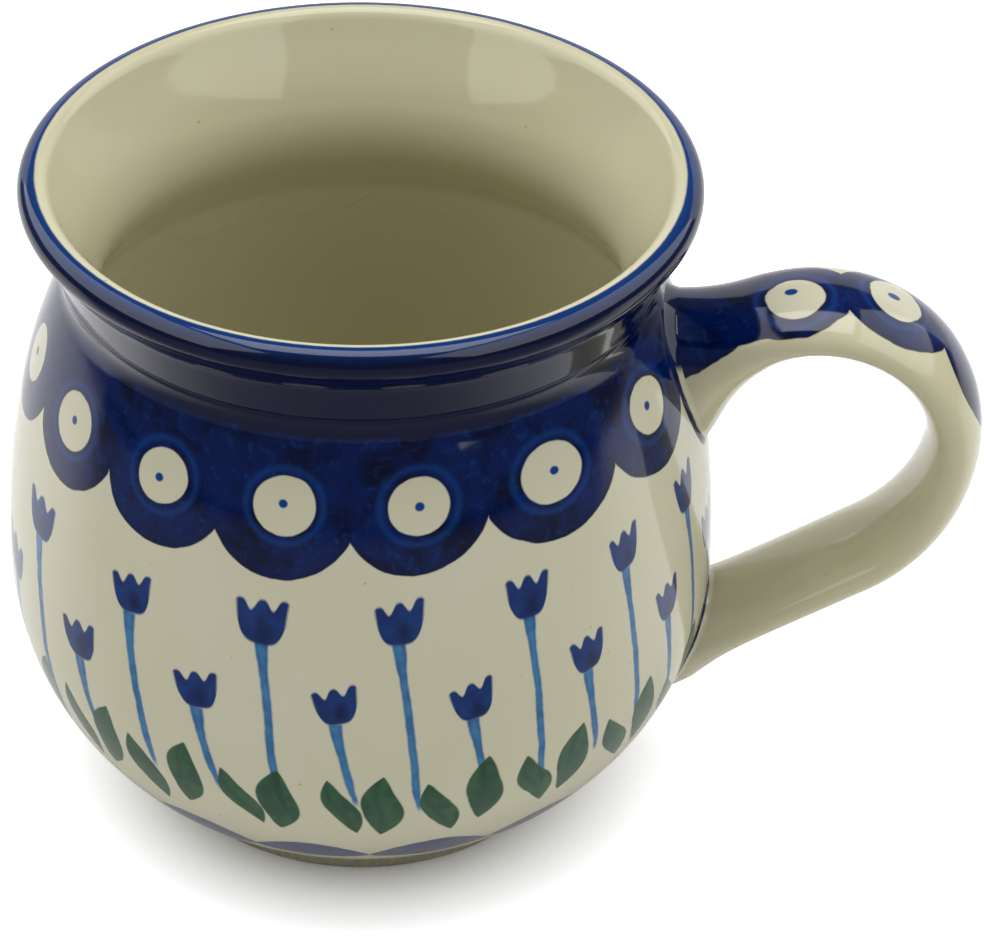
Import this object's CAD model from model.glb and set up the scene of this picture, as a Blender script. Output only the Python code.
import math

import bpy
from mathutils import Matrix, Vector, noise


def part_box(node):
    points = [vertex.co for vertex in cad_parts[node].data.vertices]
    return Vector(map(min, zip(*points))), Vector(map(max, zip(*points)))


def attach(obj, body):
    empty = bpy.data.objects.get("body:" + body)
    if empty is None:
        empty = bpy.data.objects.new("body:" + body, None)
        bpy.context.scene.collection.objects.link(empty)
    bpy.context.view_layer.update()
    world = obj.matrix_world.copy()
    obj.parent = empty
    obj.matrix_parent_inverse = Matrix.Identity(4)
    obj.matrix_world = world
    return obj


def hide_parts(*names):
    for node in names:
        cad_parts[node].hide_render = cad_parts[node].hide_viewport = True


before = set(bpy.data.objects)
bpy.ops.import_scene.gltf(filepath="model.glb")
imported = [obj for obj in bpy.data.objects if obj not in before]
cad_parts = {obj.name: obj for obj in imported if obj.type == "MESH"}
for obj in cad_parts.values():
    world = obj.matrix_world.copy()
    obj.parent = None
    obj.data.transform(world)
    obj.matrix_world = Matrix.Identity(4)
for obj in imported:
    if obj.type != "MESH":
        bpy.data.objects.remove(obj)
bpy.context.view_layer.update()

# A hand-painted stoneware mug.  Shapes are worked out in millimetres in the
# CAD frame (+Z up, handle along +X) and turned into metres as they are built.

body_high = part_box("mug_body")[1]

MM = 0.001
BELLY_RADIUS = body_high.x / MM
HEIGHT = body_high.z / MM
WALL = 5.0

FOOT_INNER = 27.4
FOOT_OUTER = 31.4
FOOT_HEIGHT = 4.0
RECESS = 2.2
LEDGE = (33.4, 4.5)

# Four tangent arcs make the belly, upward from the foot: base, hip, side, shoulder.
BASE_ARC = 25.0
BASE_START = 4.3
HIP_ARC = 41.2
HIP_SWEEP = 47.8
SIDE_ARC = 127.3
SIDE_SWEEP = 12.96
SHOULDER_ARC = 75.6
BELLY_LEVEL = 38.1
HIP = (BELLY_RADIUS - HIP_ARC, BELLY_LEVEL)
SIDE = (BELLY_RADIUS - SIDE_ARC, BELLY_LEVEL)

# Leans are degrees outward from straight up; the lip's roll runs from LIP_LEAN under
# it to LIP_END inside, as angles round its centre.
CREASE_LEVEL = 84.9
CREASE_ROUND = 2.1
COLLAR_LEAN = 17
TURNED_LEVEL = 87.6
TURNED_DEPTH = 0.22
TURNED_SPREAD = 0.3
FLARE = (43.75, 93.4)
FLARE_LEAN = 19
LIP_RADIUS = 2.3
LIP = (44.5, HEIGHT - LIP_RADIUS)
LIP_LEAN = 48
LIP_END = 154
LIP_END_LEAN = 26
THROAT = (36.2, 84.0)

# The strap's middle line: a straight rise, two arcs and a straight fall.
CROWN = (64.8, 62.5)
CROWN_ARC = 19.1
CROWN_RISE = 31.0
TURN_ANGLE = 4.0
HEEL_ARC = 26.4
HEEL_FALL = 33.8
UPPER_ROOT = 42.0
LOWER_ROOT = 46.0
STRAP_WIDTH = 18.8
STRAP_THICKNESS = 7.9
SUNK = 0.4
SIDES = 72


# ---------------------------------------------------------------- shapes

def polar(centre, radius, degrees):
    angle = math.radians(degrees)
    return (centre[0] + radius * math.cos(angle), centre[1] + radius * math.sin(angle))


def sweep(centre, radius, first, last, count):
    step = (last - first) / count
    return [polar(centre, radius, first + step * i) for i in range(count + 1)]


def bend(start, start_lean, end, end_lean, count):
    """A smooth wall line between two points, with the lean given at each."""
    span = math.dist(start, end)
    a = (math.sin(math.radians(start_lean)) * span, math.cos(math.radians(start_lean)) * span)
    b = (math.sin(math.radians(end_lean)) * span, math.cos(math.radians(end_lean)) * span)
    points = []
    for i in range(count + 1):
        t = i / count
        h = (2 * t ** 3 - 3 * t ** 2 + 1, t ** 3 - 2 * t ** 2 + t,
             3 * t ** 2 - 2 * t ** 3, t ** 3 - t ** 2)
        points.append(tuple(h[0] * start[k] + h[1] * a[k] + h[2] * end[k] + h[3] * b[k]
                            for k in (0, 1)))
    return points


def corner(before, point, after, size, count=5):
    """The few points that round one corner of an outline."""
    def toward(other):
        reach = size / math.dist(point, other)
        return [point[k] + (other[k] - point[k]) * reach for k in (0, 1)]
    a, b = toward(before), toward(after)
    rounded = []
    for i in range(count + 1):
        t = i / count
        rounded.append(tuple((1 - t) ** 2 * a[k] + 2 * t * (1 - t) * point[k] + t * t * b[k]
                             for k in (0, 1)))
    return rounded


def level_angle(centre, radius, level):
    return math.degrees(math.asin((level - centre[1]) / radius))


BASE = polar(HIP, HIP_ARC - BASE_ARC, -HIP_SWEEP)
SHOULDER = polar(SIDE, SIDE_ARC - SHOULDER_ARC, SIDE_SWEEP)


def outer_wall():
    """Outside of the body from the foot to the top of the lip."""
    top = level_angle(SHOULDER, SHOULDER_ARC, CREASE_LEVEL)
    wall = sweep(BASE, BASE_ARC, level_angle(BASE, BASE_ARC, BASE_START), -HIP_SWEEP, 10)
    wall += sweep(HIP, HIP_ARC, -HIP_SWEEP, 0, 26)[1:]
    wall += sweep(SIDE, SIDE_ARC, 0, SIDE_SWEEP, 16)[1:]
    wall += sweep(SHOULDER, SHOULDER_ARC, SIDE_SWEEP, top - 1.8, 26)[1:]
    crease = polar(SHOULDER, SHOULDER_ARC, top)
    collar = bend(crease, COLLAR_LEAN, FLARE, FLARE_LEAN, 42)
    collar += bend(FLARE, FLARE_LEAN, polar(LIP, LIP_RADIUS, -LIP_LEAN), LIP_LEAN, 18)[1:]
    collar = collar[11:]
    wall += corner(wall[-1], crease, collar[0], CREASE_ROUND, 8)
    # A fine turned line marks the foot of the collar.
    for radius, level in collar:
        groove = TURNED_DEPTH * math.exp(-((level - TURNED_LEVEL) / TURNED_SPREAD) ** 2)
        wall.append((radius - groove, level))
    return wall


def foot():
    """Underside: recess, ring and the small ledge under the base."""
    marks = [(10, RECESS), (FOOT_INNER, RECESS), (FOOT_INNER, 0), (FOOT_OUTER, 0),
             (FOOT_OUTER, FOOT_HEIGHT), LEDGE]
    rows = [(i * 3.4, RECESS) for i in range(1, 8)]
    for before, point, after, size in zip(marks, marks[1:], marks[2:], (0.5, 0.8, 0.9, 0.4)):
        rows += corner(before, point, after, size)
    return rows


def body_outline():
    """The whole outline: underside, outside, lip, inside and down to the inner floor."""
    inner_sweep = SIDE_SWEEP * 1.2
    side_top = polar(SIDE, SIDE_ARC - WALL, inner_sweep)
    lip_end = polar(LIP, LIP_RADIUS, LIP_END)
    rows = foot() + outer_wall() + sweep(LIP, LIP_RADIUS, -LIP_LEAN, LIP_END, 18)[1:]
    rows += bend(THROAT, 0, lip_end, LIP_END_LEAN, 22)[-2::-1]
    rows += bend(side_top, -inner_sweep, THROAT, 0, 12)[-2::-1]
    rows += sweep(SIDE, SIDE_ARC - WALL, inner_sweep, 0, 14)[1:]
    rows += sweep(HIP, HIP_ARC - WALL, 0, -HIP_SWEEP, 18)[1:]
    rows += sweep(BASE, BASE_ARC - WALL, -HIP_SWEEP, -90, 14)[1:]
    level = rows[-1][1]
    return rows + [(x, level) for x in (17.0, 13.0, 9.0, 5.0, 2.0)]


WALL_LINE = outer_wall()


def wall_radius(level):
    """Radius of the outside wall at a height."""
    for low, high in zip(WALL_LINE, WALL_LINE[1:]):
        if low[1] <= level <= high[1]:
            share = (level - low[1]) / max(high[1] - low[1], 1e-6)
            return low[0] + (high[0] - low[0]) * share
    return WALL_LINE[0][0]


def thrown(radius, level, angle, inside):
    """The slight unevenness that the wheel and the hands leave.

    The outside is only ever drawn in; the inside also has the rings of the throwing.
    """
    place = Vector((math.cos(angle), math.sin(angle), level * 0.04))
    sway = 0.5 + 0.5 * noise.noise(place * 1.3 + Vector((4.0, 0, 0)))
    ease = min(1.0, radius / 30.0) * min(1.0, level / 12.0)
    shrink = 0.12 * sway * ease
    if inside and level < 76:
        ring_step = 6.5
        turn = 2 * math.pi * level / ring_step + angle
        shrink -= 0.09 * math.sin(turn) * ease
    return radius - shrink


def build(name, points, faces, uv=None):
    mesh = bpy.data.meshes.new(name)
    mesh.from_pydata([Vector(p) * MM for p in points], [], faces)
    if uv:
        layer = mesh.uv_layers.new(name="glaze")
        for face in mesh.polygons:
            for loop, place in zip(face.loop_indices, uv[face.index]):
                layer.data[loop].uv = place
    mesh.polygons.foreach_set("use_smooth", [True] * len(mesh.polygons))
    mesh.update()
    piece = bpy.data.objects.new(name, mesh)
    bpy.context.collection.objects.link(piece)
    return piece


def make_body(segments=288):
    """The thrown body: its outline carried once round the axis."""
    outline = body_outline()
    lip_row = outline.index(max(outline, key=lambda p: p[1]))
    points = [(0, 0, RECESS)]
    for row, (radius, level) in enumerate(outline):
        for i in range(segments):
            angle = 2 * math.pi * i / segments
            r = thrown(radius, level, angle, row > lip_row)
            points.append((r * math.cos(angle), r * math.sin(angle), level))
    points.append((0, 0, outline[-1][1]))
    # Each point carries its distance from the brim: outside below 0.5, inside above.
    reach = [0.0]
    for before, after in zip(outline, outline[1:]):
        reach.append(reach[-1] + math.dist(before, after))
    brim = reach[lip_row]
    climb = [0.5 + (distance - brim) / 1000 for distance in reach]
    faces, uv = [], []
    for i in range(segments):
        j = (i + 1) % segments
        left, right = i / segments, (i + 1) / segments
        faces.append((0, 1 + j, 1 + i))
        uv.append(((left, climb[0]), (right, climb[0]), (left, climb[0])))
        for row in range(len(outline) - 1):
            a = 1 + row * segments
            b = a + segments
            faces.append((a + i, a + j, b + j, b + i))
            uv.append(((left, climb[row]), (right, climb[row]),
                       (right, climb[row + 1]), (left, climb[row + 1])))
        last = 1 + (len(outline) - 1) * segments
        faces.append((last + i, last + j, len(points) - 1))
        uv.append(((left, climb[-1]), (right, climb[-1]), (left, climb[-1])))
    return build("mug_body_glazed", points, faces, uv)


CROWN_START = polar(CROWN, CROWN_ARC, 90 + CROWN_RISE)
CROWN_END = polar(CROWN, CROWN_ARC, -TURN_ANGLE)
HEEL = polar(CROWN_END, HEEL_ARC, 180 - TURN_ANGLE)
HEEL_END = polar(HEEL, HEEL_ARC, HEEL_FALL - 90)
RISE = (CROWN_START[0] - UPPER_ROOT) / math.cos(math.radians(CROWN_RISE))
FALL = (HEEL_END[0] - LOWER_ROOT) / math.cos(math.radians(HEEL_FALL))
CROWN_RUN = CROWN_ARC * math.radians(90 + CROWN_RISE + TURN_ANGLE)
HEEL_RUN = HEEL_ARC * math.radians(90 - TURN_ANGLE - HEEL_FALL)
STRAP_RUN = RISE + CROWN_RUN + HEEL_RUN + FALL


def strap_line(run):
    """Point and heading of the strap's middle line, by distance from the upper root."""
    if run < RISE:
        return polar(CROWN_START, RISE - run, 180 + CROWN_RISE), CROWN_RISE
    run -= RISE
    if run < CROWN_RUN:
        angle = 90 + CROWN_RISE - math.degrees(run / CROWN_ARC)
        return polar(CROWN, CROWN_ARC, angle), angle - 90
    run -= CROWN_RUN
    if run < HEEL_RUN:
        angle = -TURN_ANGLE - math.degrees(run / HEEL_ARC)
        return polar(HEEL, HEEL_ARC, angle), angle - 90
    return polar(HEEL_END, run - HEEL_RUN, HEEL_FALL - 180), HEEL_FALL - 180


def swell(run, reach):
    """How far the strap has grown toward a root: 1 at the root, fading with distance."""
    return math.exp(-(max(run, 0) / reach) ** 1.5)


def strand(run, turn):
    """Point of the strap's surface; turn goes round the section from +Y over the top."""
    up, down = swell(run, 9.0), swell(STRAP_RUN - run, 6.5)
    width = STRAP_WIDTH - 1.4 * up - 0.4 * down
    thickness = STRAP_THICKNESS + 18.7 * up + 5.5 * down
    middle, heading = strap_line(run)
    lift = math.sin(turn) * thickness / 2
    x, z = polar(middle, lift, heading + 90)
    return Vector((x, math.cos(turn) * width / 2, z))


def above_wall(point):
    return math.hypot(point.x, point.y) - wall_radius(point.z)


def meet(turn, inside, outside, height):
    """Distance along one strand at which it stands a given height off the wall."""
    for _ in range(30):
        run = (inside + outside) / 2
        if above_wall(strand(run, turn)) < height:
            inside = run
        else:
            outside = run
    return run


def strap_turn(column):
    # Columns start under the strap, so that their seam lies on its inner side.
    return math.radians(270 + 360 * column / SIDES)


def upper_meet(turn, height):
    return meet(turn, -4.0, 16.0, height)


def lower_meet(turn, height):
    return meet(turn, STRAP_RUN + 12.0, STRAP_RUN - 16.0, height)


def make_handle(rows=190):
    """The strap, its end rows bent to lie just under the wall."""
    starts = [upper_meet(strap_turn(c), -SUNK) for c in range(SIDES)]
    ends = [lower_meet(strap_turn(c), -SUNK) for c in range(SIDES)]
    ease = 26.0
    points, places = [], []
    for row in range(rows + 1):
        run = STRAP_RUN * row / rows
        ring = []
        runs = []
        for c in range(SIDES):
            near = max(0.0, 1 - run / ease) ** 2
            far = max(0.0, 1 - (STRAP_RUN - run) / ease) ** 2
            along = run + starts[c] * near + (ends[c] - STRAP_RUN) * far
            point = strand(along, strap_turn(c))
            ring.append(point)
            runs.append(along)
        around = [0.0]
        for c in range(SIDES):
            around.append(around[-1] + (ring[(c + 1) % SIDES] - ring[c]).length)
        # The map holds distances along and round the strap, 1.0 for 100 mm, with 0.5 on
        # the middle of its outer face.
        middle = around[SIDES // 2]
        for c in range(SIDES + 1):
            places.append((runs[c % SIDES] / 100, 0.5 + (around[c] - middle) / 100))
        points += ring
    faces, uv = [], []
    for row in range(rows):
        for c in range(SIDES):
            a, b = row * SIDES, (row + 1) * SIDES
            faces.append((a + c, a + (c + 1) % SIDES, b + (c + 1) % SIDES, b + c))
            p, q = row * (SIDES + 1) + c, (row + 1) * (SIDES + 1) + c
            uv.append((places[p], places[p + 1], places[q + 1], places[q]))
    for row, flip in ((0, True), (rows, False)):
        ring = range(row * SIDES, (row + 1) * SIDES)
        centre = len(points)
        points.append(sum((points[i] for i in ring), Vector()) / SIDES)
        for c in range(SIDES):
            i, j = ring[c], ring[(c + 1) % SIDES]
            faces.append((centre, j, i) if flip else (centre, i, j))
            uv.append((places[row * (SIDES + 1)],) * 3)
    return build("handle_glazed", points, faces, uv)


def on_wall(point):
    """The same direction and height, moved on to the wall."""
    scale = wall_radius(point.z) / math.hypot(point.x, point.y)
    return Vector((point.x * scale, point.y * scale, point.z))


def make_joint(name, find, spread, sag, rise, sign):
    """Slip round one root: a hollow-faced fillet from the wall up to the strap.

    Both of its edges run a little on, just under the wall and the strap, so that
    the slip melts into them.
    """
    steps = 12
    # The map's first number, for each point of a ring: 0 at the wall, 1 at the strap.
    marks = [0] + [i / steps for i in range(steps + 1)] + [1, 1, 1, 0]
    rings = []
    crossings = [find(strap_turn(c), 0.0) for c in range(SIDES)]
    edge = [strand(run, strap_turn(c)) for c, run in enumerate(crossings)]
    middle = sum(edge, Vector()) / SIDES
    for c in range(SIDES):
        turn = strap_turn(c)
        ragged = 1 + 0.18 * noise.noise(edge[c] * 0.22)
        outward = (edge[c] - middle).normalized()
        width = (spread + sag * max(math.sin(turn), 0.0) ** 2) * ragged
        wall = on_wall(edge[c] + outward * width)
        wall_end = on_wall(edge[c] + outward * (width + 0.7))
        climb = rise * ragged
        grip = strand(crossings[c] + sign * climb, turn) - outward * 0.10
        grip_end = strand(crossings[c] + sign * (climb + 0.7), turn) - outward * 0.35
        hidden = edge[c] - outward * 0.8
        line = [wall_end * 0.992]
        for t in marks[1:steps + 2]:
            line.append(wall * 0.997 * (1 - t) ** 2 + edge[c] * 2 * t * (1 - t) + grip * t * t)
        line += [grip_end, grip_end.lerp(hidden, 0.3), hidden * 0.985, wall_end * 0.985]
        rings.append(line)
    count = len(marks)
    points = [point for line in rings for point in line]
    faces, uv = [], []
    for c in range(SIDES):
        a, b = c * count, ((c + 1) % SIDES) * count
        for i in range(count):
            j = (i + 1) % count
            quad = (a + i, b + i, b + j, a + j)
            faces.append(quad if sign > 0 else quad[::-1])
            low, high = marks[i], marks[j]
            corners = ((low, c / SIDES), (low, (c + 1) / SIDES),
                       (high, (c + 1) / SIDES), (high, c / SIDES))
            uv.append(corners if sign > 0 else corners[::-1])
    return build(name, points, faces, uv)


# ---------------------------------------------------------------- paint helpers

def linear(red, green, blue):
    """A colour given in eye-even steps of 0 to 255, as the light values shaders use."""
    def value(level):
        level /= 255
        return level / 12.92 if level < 0.0405 else ((level + 0.055) / 1.055) ** 2.4
    return (value(red), value(green), value(blue), 1.0)


class Flow:
    """A number flowing through a material's nodes, so that a pattern reads as sums."""

    def __init__(self, tree, socket):
        self.tree = tree
        self.socket = socket

    def __add__(self, other):
        return calc("ADD", self, other)

    def __sub__(self, other):
        return calc("SUBTRACT", self, other)

    def __mul__(self, other):
        return calc("MULTIPLY", self, other)

    def __truediv__(self, other):
        return calc("DIVIDE", self, other)

    def __rsub__(self, other):
        return calc("SUBTRACT", other, self)

    __radd__ = __add__
    __rmul__ = __mul__


def feed(tree, socket, value):
    if isinstance(value, Flow):
        tree.links.new(value.socket, socket)
    else:
        socket.default_value = value


def calc(operation, *values):
    tree = next(v.tree for v in values if isinstance(v, Flow))
    node = tree.nodes.new("ShaderNodeMath")
    node.operation = operation
    for socket, value in zip(node.inputs, values):
        feed(tree, socket, value)
    return Flow(tree, node.outputs[0])


def ramp(value, low, high, smooth=True):
    """0 at low, 1 at high, smooth between."""
    node = value.tree.nodes.new("ShaderNodeMapRange")
    node.interpolation_type = "SMOOTHSTEP" if smooth else "LINEAR"
    feed(value.tree, node.inputs["Value"], value)
    node.inputs["From Min"].default_value = low
    node.inputs["From Max"].default_value = high
    return Flow(value.tree, node.outputs[0])


def within(distance, soft=0.14):
    """1 where a signed distance is below nought, with an edge as soft as wet paint."""
    return ramp(distance, soft, -soft)


def least(*values):
    result = values[0]
    for value in values[1:]:
        result = calc("MINIMUM", result, value)
    return result


def most(*values):
    result = values[0]
    for value in values[1:]:
        result = calc("MAXIMUM", result, value)
    return result


def hypot(a, b):
    return calc("SQRT", a * a + b * b)


def mix(amount, first, second):
    """Colour or number between two, each a Flow or a constant."""
    tree = amount.tree
    node = tree.nodes.new("ShaderNodeMix")
    colour = is_colour(first) or is_colour(second)
    node.data_type = "RGBA" if colour else "FLOAT"
    start = 6 if colour else 2
    feed(tree, node.inputs[0], amount)
    feed(tree, node.inputs[start], first)
    feed(tree, node.inputs[start + 1], second)
    return Flow(tree, node.outputs[2 if colour else 0])


def is_colour(value):
    return isinstance(value, tuple) or isinstance(value, Flow) and value.socket.type == "RGBA"


def cloud(vector, scale, detail=2.0, rough=0.5, distortion=0.0):
    """Soft noise about 0.5, over a vector in millimetres."""
    node = vector.tree.nodes.new("ShaderNodeTexNoise")
    feed(vector.tree, node.inputs["Vector"], vector)
    node.inputs["Scale"].default_value = scale
    node.inputs["Detail"].default_value = detail
    node.inputs["Roughness"].default_value = rough
    node.inputs["Distortion"].default_value = distortion
    return Flow(vector.tree, node.outputs[0])


def chance(name, seed):
    """Three even random numbers from 0 to 1 for each whole-number name."""
    tree = name.tree
    node = tree.nodes.new("ShaderNodeTexWhiteNoise")
    node.noise_dimensions = "1D"
    feed(tree, node.inputs["W"], name + seed)
    split = tree.nodes.new("ShaderNodeSeparateColor")
    tree.links.new(node.outputs["Color"], split.inputs[0])
    return [Flow(tree, socket) for socket in split.outputs]


def cells(angle, count, shift):
    """Divides a turn into painted motifs: place across one, -0.5 to 0.5, and its number."""
    steps = angle * (count / 360) + shift
    index = calc("FLOOR", steps)
    return steps - index - 0.5, calc("FLOORED_MODULO", index, count)


def surface_place(tree):
    """Place on the object in millimetres, as a vector and as three numbers."""
    where = tree.nodes.new("ShaderNodeTexCoord")
    grow = tree.nodes.new("ShaderNodeVectorMath")
    grow.operation = "SCALE"
    grow.inputs["Scale"].default_value = 1 / MM
    tree.links.new(where.outputs["Object"], grow.inputs[0])
    split = tree.nodes.new("ShaderNodeSeparateXYZ")
    tree.links.new(grow.outputs[0], split.inputs[0])
    vector = Flow(tree, grow.outputs[0])
    return vector, [Flow(tree, socket) for socket in split.outputs]


def glaze_place(tree):
    """The two numbers of a piece's glaze map; what they hold is said where it is made."""
    node = tree.nodes.new("ShaderNodeUVMap")
    node.uv_map = "glaze"
    split = tree.nodes.new("ShaderNodeSeparateXYZ")
    tree.links.new(node.outputs[0], split.inputs[0])
    return Flow(tree, split.outputs[0]), Flow(tree, split.outputs[1])


def glazed(name, paint):
    """Glossy glaze over a painted colour, with the faint swim of a fired surface."""
    material = bpy.data.materials.new(name)
    material.use_nodes = True
    tree = material.node_tree
    shader = tree.nodes["Principled BSDF"]
    vector, place = surface_place(tree)
    colour, roughness, relief = paint(vector, place)
    feed(tree, shader.inputs["Base Color"], colour)
    feed(tree, shader.inputs["Roughness"], roughness)
    shader.inputs["IOR"].default_value = 1.5
    swim = cloud(vector, 0.11, 1.0) * 0.55 + cloud(vector, 0.9, 2.0) * 0.03
    bump = tree.nodes.new("ShaderNodeBump")
    bump.inputs["Strength"].default_value = 1.0
    bump.inputs["Distance"].default_value = 0.00012
    feed(tree, bump.inputs["Height"], swim + relief)
    tree.links.new(bump.outputs[0], shader.inputs["Normal"])
    return material


# ---------------------------------------------------------------- painting

# Each ring of motifs: how many, how far it is turned in motifs, its height and sizes.
LOBES = 16
LOBE_SHIFT = 0.807
LOBE_LEVEL = 75.6
LOBE_RADIUS = 9.6
EYE_RADIUS = 3.85
TULIPS = 32
TULIP_SHIFT = 1.17
TULIP_LEVEL = 45.9
TALLER = 12.6
LEAVES = 22
LEAF_SHIFT = 0.63
LEAF_LEVEL = 27.9
LEAF_REACH = 6.8
WAVES = 16
WAVE_SHIFT = 0.65
WAVE_TOP = 13.4
WAVE_FOOT = 12.7
# Heights over which the blue of the collar and the bare clay of the foot set in.
COLLAR_START = (84.2, 85.0)
BARE_FOOT = (4.9, 3.9)

CREAM = linear(197, 194, 170)
CREAM_WARM = linear(194, 189, 156)
FOOT_CLAY = linear(104, 102, 92)
SPECK = linear(120, 102, 74)
COBALT = linear(2, 23, 76)
COBALT_DEEP = linear(0, 8, 42)
COBALT_WASH = linear(10, 58, 124)
COLLAR = linear(1, 9, 46)
STEM_BLUE = linear(60, 116, 160)
TULIP = linear(14, 50, 110)
LEAF = linear(52, 88, 60)
LEAF_DEEP = linear(20, 52, 46)
WAVE = linear(38, 48, 102)


def cream_ground(vector, warmth):
    """Cream glaze with slow warm clouds and sparse iron specks."""
    cloudy = ramp(cloud(vector, 0.05, 3.0), 0.3, 0.8) * 0.35
    ground = mix(cloudy + warmth, CREAM, CREAM_WARM)
    tree = vector.tree
    dots = tree.nodes.new("ShaderNodeTexVoronoi")
    feed(tree, dots.inputs["Vector"], vector)
    dots.inputs["Scale"].default_value = 0.34
    split = tree.nodes.new("ShaderNodeSeparateColor")
    tree.links.new(dots.outputs["Color"], split.inputs[0])
    rare = ramp(Flow(tree, split.outputs[0]), 0.80, 0.84)
    size = Flow(tree, split.outputs[1]) * 0.07 + 0.02
    fleck = ramp(Flow(tree, dots.outputs["Distance"]) - size, 0.03, -0.03)
    return mix(fleck * rare * 0.45, ground, SPECK)


def painted_eye(u, v, random, size):
    """White eye, centre dot and brushed ring colour round it, for one motif."""
    u = u + (random[0] - 0.5) * 0.6
    v = v + (random[1] - 0.5) * 0.5
    reach = hypot(u, v)
    white = within(reach - (random[2] * 0.35 + size))
    dot = within(hypot(u - (random[1] - 0.5) * 0.9, v - (random[2] - 0.5) * 0.7) - 0.62)
    ring = within(calc("ABSOLUTE", reach - (size + 1.35)) - 0.35, 0.55)
    return white, dot, ring


def cobalt_wash(vector, ring, edge):
    """Cobalt brushed on in watery strokes: pale ring, deep pools, darker rim."""
    pool = ramp(cloud(vector, 0.16, 3.0, 0.6, 0.6), 0.42, 0.66)
    colour = mix(pool, COBALT, COBALT_DEEP)
    streak = ramp(cloud(vector, 0.5, 3.0, 0.6, 1.2), 0.52, 0.72)
    colour = mix(streak * 0.35, colour, COBALT_WASH)
    colour = mix(ring * 0.6, colour, COBALT_WASH)
    return mix(edge * 0.5, colour, COBALT_DEEP)


def tulips(angle, radius, z, wander):
    """Stems with three-petalled heads, tall and short in turn."""
    warped = angle + 9.6 * calc("SINE", (angle + 12.0) * math.radians(1))
    lean = ramp(z, 62.0, 26.0, smooth=False)
    warped = warped - lean * lean * 4.2
    across, name = cells(warped, TULIPS, TULIP_SHIFT)
    random = chance(name, 7.5)
    tall = calc("FLOORED_MODULO", name, 2.0)
    u = across * radius * (2 * math.pi / TULIPS) + (random[0] - 0.5) * 0.7
    swell_right = calc("SINE", (angle + 95.4) * math.radians(1))
    head = TULIP_LEVEL + tall * TALLER + swell_right * 2.0 + (random[1] - 0.5) * 1.8
    v = z - head
    tip = (random[2] - 0.5) * 0.36
    grow = 0.9 + random[2] * 0.18
    a = (u + v * tip * 0.35) * grow
    b = (v - u * tip) * grow
    notch = 0.5 - calc("COSINE", a * 2.15) * 0.5
    top = b - 3.2 + calc("POWER", notch, 1.5) * 1.5 - a * (random[0] - 0.4) * 0.25
    cup = a * a * a * a * 0.028 - 3.1 - b
    flank = calc("ABSOLUTE", a) - 3.25 - b * 0.11
    flower = within(most(top, cup, flank), 0.28)
    blob = within(hypot((a - 0.5) * 1.1, (b + 1.3) * 0.8) - 1.1, 1.2)
    side = calc("ABSOLUTE", u + calc("SINE", v * 0.17 + random[2] * 2.0) * 0.35 + wander)
    bottom = z - (random[2] - 0.5) * 5.0
    below = ramp(v, -2.4, -3.2) * ramp(bottom, 26.0, 28.0)
    thick = 0.62 + 0.35 * ramp(v, -9.0, -3.0) - 0.25 * ramp(bottom, 32.0, 27.0)
    stem = within(side - thick, 0.22) * below
    return flower, blob, stem, side


def leaf(u, v, lean, size, fullness):
    """One leaf: a lens on a leaning axis, with its tips bent like an S."""
    along = v - u * lean
    over = u + v * lean + calc("SINE", along * 0.5) * 0.45
    spread = 1.0 - along * along / (size * size)
    half = calc("POWER", most(spread, 0.0), 0.92) * fullness
    body = within(calc("ABSOLUTE", over) - half, 0.18) * ramp(spread, 0.0, 0.03)
    return body, over


def leaves(angle, radius, z):
    """Two leaves to each place in the ring, one leaning and one nearly upright."""
    across, name = cells(angle, LEAVES, LEAF_SHIFT)
    wide = radius * (2 * math.pi / LEAVES)
    drawn = []
    for seed, middle, lean, full in ((3.5, -0.225, 0.42, 2.1), (11.5, 0.225, -0.08, 2.5)):
        random = chance(name, seed)
        u = (across - middle) * wide + (random[0] - 0.5) * 1.2
        v = z - LEAF_LEVEL - (random[1] - 0.5) * 2.0 - (seed - 7.5) * 0.17
        slope = (random[2] - 0.5) * 0.2 + lean
        drawn.append(leaf(u, v, slope, LEAF_REACH, random[0] * 0.4 + full))
    return drawn


def wave_band(angle, z):
    """Overlapping crescents round the base."""
    across, name = cells(angle, WAVES, WAVE_SHIFT)
    random = chance(name, 5.5)
    bow = 1.0 - across * across * 4.0
    upper = z - WAVE_TOP - bow * 4.1 - (random[0] - 0.5) * 0.6
    lower = WAVE_FOOT - bow * 1.3 - z + (random[1] - 0.5) * 0.4
    return within(most(upper, lower), 0.2)


def lobe_row(angle, angle_drawn, radius, level):
    """Lobes hung from the neck, each with an eye: body, dark edge, and the eye's parts."""
    # Spacing by hand: the row runs a few degrees late beside the handle.
    late = ramp(calc("ABSOLUTE", angle + 15.0), 60.0, 0.0) * 6.3
    across, name = cells(angle_drawn - late, LOBES, LOBE_SHIFT)
    random = chance(name, 1.5)
    u = across * radius * (2 * math.pi / LOBES)
    rise = calc("SINE", (angle + 95.0) * math.radians(1)) * 0.9
    v = (level - LOBE_LEVEL - rise) * 1.07
    white, dot, ring = painted_eye(u, v, random, EYE_RADIUS)
    lobe = hypot(u, least(v, 0.0))
    # One lobe came out larger than its neighbours.
    bold = ramp(calc("ABSOLUTE", angle + 99.0), 34.0, 0.0) * 1.1
    scallop = within(lobe - LOBE_RADIUS - bold - (random[0] - 0.5) * 0.3)
    edge = ramp(lobe - bold, 8.3, 9.3)
    return scallop, edge, white, dot, ring


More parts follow.
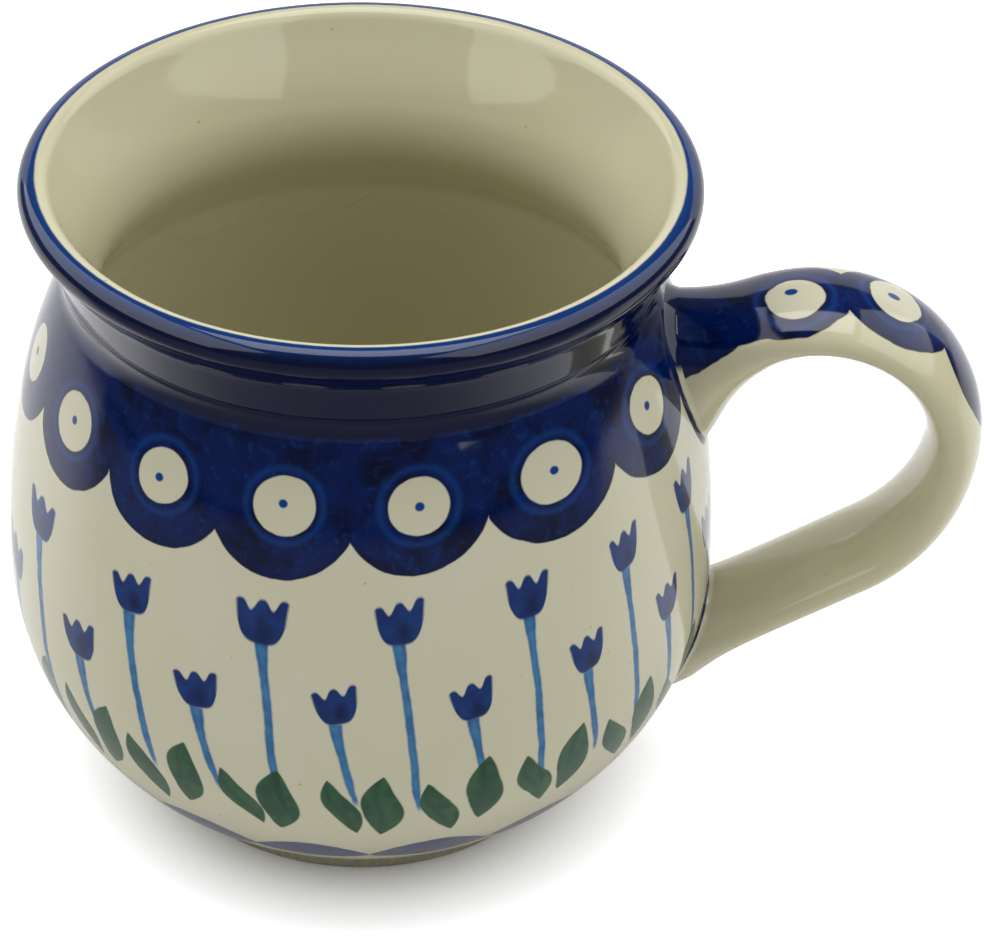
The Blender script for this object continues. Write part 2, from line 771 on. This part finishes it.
def body_paint(vector, place):
    """The body's colour, roughness and paint relief, from the foot ring to the brim."""
    x, y, z = place
    shake = cloud(vector, 0.12, 2.0) - 0.5
    shiver = cloud(vector, 0.7, 1.0) - 0.5
    radius = hypot(x, y)
    wander = shake * 0.9 + shiver * 0.2
    angle = calc("ARCTAN2", y, x) * math.degrees(1)
    level = z + wander
    angle_drawn = angle + shake * 0.8
    # Distance past the brim: below nought outside, above it inside.
    brim = (glaze_place(vector.tree)[1] - 0.5) * 1000
    hollow = ramp(brim + shiver * 0.12, 0.15, 0.5)
    cream = cream_ground(vector, hollow * 0.7)

    flower, blob, stem, side = tulips(angle_drawn, radius, z, shiver * 0.25)
    wash = ramp(cloud(vector, 0.45, 2.0), 0.35, 0.65)
    rim = ramp(side, 0.1, 0.6)
    colour = mix(stem, cream, mix(wash * 0.35 + rim * 0.2, STEM_BLUE, TULIP))
    tulip_colour = mix(wash * 0.5, TULIP, COBALT)
    tulip_colour = mix(blob * 0.7, tulip_colour, COBALT_DEEP)
    colour = mix(flower, colour, tulip_colour)

    streak = ramp(cloud(vector, 0.3, 1.5, 0.5, 0.3), 0.38, 0.66)
    for body, over in leaves(angle_drawn, radius, level):
        vein = within(calc("ABSOLUTE", over + 0.5) - 0.5, 0.6)
        green = mix(most(streak * 0.5, vein * 0.45, stem * 0.6), LEAF, LEAF_DEEP)
        colour = mix(body, colour, green)

    colour = mix(wave_band(angle_drawn, level) * (0.88 + streak * 0.06), colour, WAVE)

    scallop, edge, white, dot, ring = lobe_row(angle, angle_drawn, radius, level)
    colour = mix(scallop, colour, cobalt_wash(vector, ring, edge))
    colour = mix(white * scallop, colour, cream)
    colour = mix(dot * scallop, colour, COBALT_WASH)

    collar_mask = ramp(z + shiver * 0.6, *COLLAR_START)
    collar_colour = mix(cloud(vector, 0.2, 2.0), COLLAR, COBALT_DEEP)
    thin = ramp(brim + shiver * 0.5, -2.6, 0.2)
    collar_colour = mix(thin * 0.7, collar_colour, COBALT_WASH)
    colour = mix(collar_mask, colour, collar_colour)
    colour = mix(hollow, colour, cream)

    ring_mask = ramp(z + shiver * 0.8, *BARE_FOOT) * ramp(brim, -60.0, -61.0)
    clay = mix(cloud(vector, 1.4, 4.0, 0.7), FOOT_CLAY, CREAM_WARM)
    colour = mix(ring_mask, colour, clay)
    rough = 0.06 + ring_mask * 0.5 + cloud(vector, 0.3, 2.0) * 0.03
    relief = scallop * 0.25 + ring_mask * cloud(vector, 2.5, 3.0) * 1.5
    return colour, rough, relief


# Lobes on the handle: distance along the strap, then across it toward -Y.  Its eyes
# have the same two, then how much they are squeezed along the strap, and their radius.
HANDLE_LOBES = ((20.8, 1.0), (33.7, -0.7), (46.6, -2.4), (59.5, -3.4), (72.4, -3.2))
HANDLE_EYES = ((21.5, 2.3, 1.24, 4.15), (33.4, -1.4, 1.48, 4.8), (46.6, -6.0, 1.36, 4.2),
               (59.5, -5.0, 1.3, 4.2), (72.4, -4.4, 1.3, 4.2))


def handle_paint(vector, place):
    """The handle's colour, roughness and relief: a blue root, then lobes with eyes."""
    along, over = glaze_place(vector.tree)
    shake = (cloud(vector, 0.25, 2.0) - 0.5) * 0.8
    s = along * 100 + shake
    q = (over - 0.5) * 100 + shake
    colour = cream_ground(vector, 0.7)
    root = calc("ABSOLUTE", q - 1.0) - 7.9 - most(14.0 - s, 0.0) * 0.45
    root = most(root, s - 20.8)
    lobes = [hypot((s - middle) * 1.12, q - side) - 8.5 for middle, side in HANDLE_LOBES]
    patch = least(root, *lobes)
    scallop = within(patch)
    reach = least(*(hypot((s - middle) * narrow, q - side) - size
                    for middle, side, narrow, size in HANDLE_EYES))
    dot = within(least(*(hypot(s - middle + 0.4, q - side + 0.2 + 0.9 * (middle < 30))
                         for middle, side, narrow, size in HANDLE_EYES)) - 0.75)
    ring = within(calc("ABSOLUTE", reach - 1.35) - 0.35, 0.55)
    white = within(reach)
    edge = ramp(patch, -1.2, -0.2)
    colour = mix(scallop, colour, cobalt_wash(vector, ring, edge))
    colour = mix(white * scallop, colour, cream_ground(vector, 0.0))
    colour = mix(dot * scallop, colour, COBALT_WASH)
    rough = 0.07 + cloud(vector, 0.3, 2.0) * 0.03
    return colour, rough, scallop * 0.25


def joint_paint(vector, place):
    """Cream slip with a brushed blue line; the top of the upper joint is all blue."""
    climb = glaze_place(vector.tree)[0]
    shake = (cloud(vector, 0.4, 2.0) - 0.5) * 0.15
    line = within(calc("ABSOLUTE", climb - 0.36 + shake) - 0.15, 0.05)
    line = most(line, ramp(place[2], 75.5, 77.0))
    wash = cloud(vector, 0.3, 2.0)
    colour = mix(line, cream_ground(vector, 0.5), mix(wash, COBALT, COBALT_DEEP))
    rough = 0.07 + cloud(vector, 0.3, 2.0) * 0.03
    return colour, rough, line * 0.2


# ---------------------------------------------------------------- pieces

def finish_piece(piece, node, material):
    piece.data.materials.append(material)
    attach(piece, "root")
    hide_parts(node)


finish_piece(make_body(), "mug_body",
             glazed("body_glaze_painted", body_paint))
finish_piece(make_handle(), "handle",
             glazed("handle_glaze_painted", handle_paint))
joint_material = glazed("joint_glaze_painted", joint_paint)
for node, find, sag, rise, sign in (("upper_slip_joint", upper_meet, 0.0, 1.8, 1),
                                    ("lower_slip_joint", lower_meet, 4.0, 2.0, -1)):
    joint = make_joint(node + "_fillet", find, 1.5, sag, rise, sign)
    finish_piece(joint, node, joint_material)


# ---------------------------------------------------------------- setting

def make_floor(reach=3.0):
    """A plain white floor; mirrored in the glaze it darkens toward the viewer."""
    mesh = bpy.data.meshes.new("floor")
    mesh.from_pydata([(-reach, -reach, 0), (reach, -reach, 0),
                      (reach, reach, 0), (-reach, reach, 0)], [], [(0, 1, 2, 3)])
    piece = bpy.data.objects.new("floor", mesh)
    material = bpy.data.materials.new("floor_white")
    material.use_nodes = True
    tree = material.node_tree
    shader = tree.nodes["Principled BSDF"]
    shader.inputs["Roughness"].default_value = 1.0
    shader.inputs["Specular IOR Level"].default_value = 0.0
    x, y = surface_place(tree)[1][:2]
    rays = tree.nodes.new("ShaderNodeLightPath")
    mirrored = Flow(tree, rays.outputs["Is Glossy Ray"]) * ramp(y, 20.0, -80.0)
    feed(tree, shader.inputs["Base Color"],
         mix(mirrored, (0.94, 0.94, 0.94, 1), (0.22, 0.22, 0.22, 1)))
    # The bright room washes the floor white, except close round the foot.
    seen = Flow(tree, rays.outputs["Is Camera Ray"])
    shader.inputs["Emission Color"].default_value = (0.95, 0.96, 1.0, 1)
    feed(tree, shader.inputs["Emission Strength"], seen * ramp(hypot(x, y), 27.0, 52.0) * 0.62)
    piece.data.materials.append(material)
    bpy.context.collection.objects.link(piece)


def aimed(position, target):
    return (Vector(target) - Vector(position)).to_track_quat("-Z", "Y").to_euler()


def softbox(name, position, target, width, height, power):
    light = bpy.data.lights.new(name, "AREA")
    light.shape = "RECTANGLE"
    light.size = width
    light.size_y = height
    light.energy = power
    lamp = bpy.data.objects.new(name, light)
    lamp.location = position
    lamp.rotation_euler = aimed(position, target)
    bpy.context.collection.objects.link(lamp)


def make_world():
    world = bpy.data.worlds.new("studio")
    world.use_nodes = True
    background = world.node_tree.nodes["Background"]
    background.inputs["Color"].default_value = (1.0, 1.0, 1.0, 1)
    background.inputs["Strength"].default_value = 0.12
    bpy.context.scene.world = world


def make_camera():
    """Raised view, a little to the handle's side of square on, with a slight roll."""
    aim = Vector((0.0187, 0.0015, 0.0492))
    distance = 0.514
    rise = math.radians(36.4)
    aside = math.radians(3.79)
    away = Vector((math.sin(aside) * math.cos(rise), -math.cos(aside) * math.cos(rise),
                   math.sin(rise)))
    lens = bpy.data.cameras.new("camera")
    lens.lens = 129.93
    lens.sensor_width = 36.0
    camera = bpy.data.objects.new("camera", lens)
    camera.location = aim + away * distance
    turn = (-away).to_track_quat("-Z", "Y").to_matrix().to_4x4()
    roll = math.radians(1.44)
    camera.matrix_world = Matrix.Translation(camera.location) @ turn @ Matrix.Rotation(
        roll, 4, "Z")
    bpy.context.collection.objects.link(camera)
    bpy.context.scene.camera = camera


make_floor()
softbox("left_box", (-0.80, -0.05, 0.96), (0, -0.05, 0.70), 2.2, 1.15, 13.2)
softbox("right_box", (0.80, -0.05, 0.96), (0, -0.05, 0.70), 2.2, 1.15, 12.4)
softbox("back_wall", (0.0, 1.15, 0.36), (0, 0, 0.36), 2.2, 0.7, 3.6)
softbox("overhead", (0.0, 0.10, 1.30), (0, 0, 0), 0.9, 0.9, 8.4)
make_world()
make_camera()
bpy.context.scene.view_settings.view_transform = "Standard"
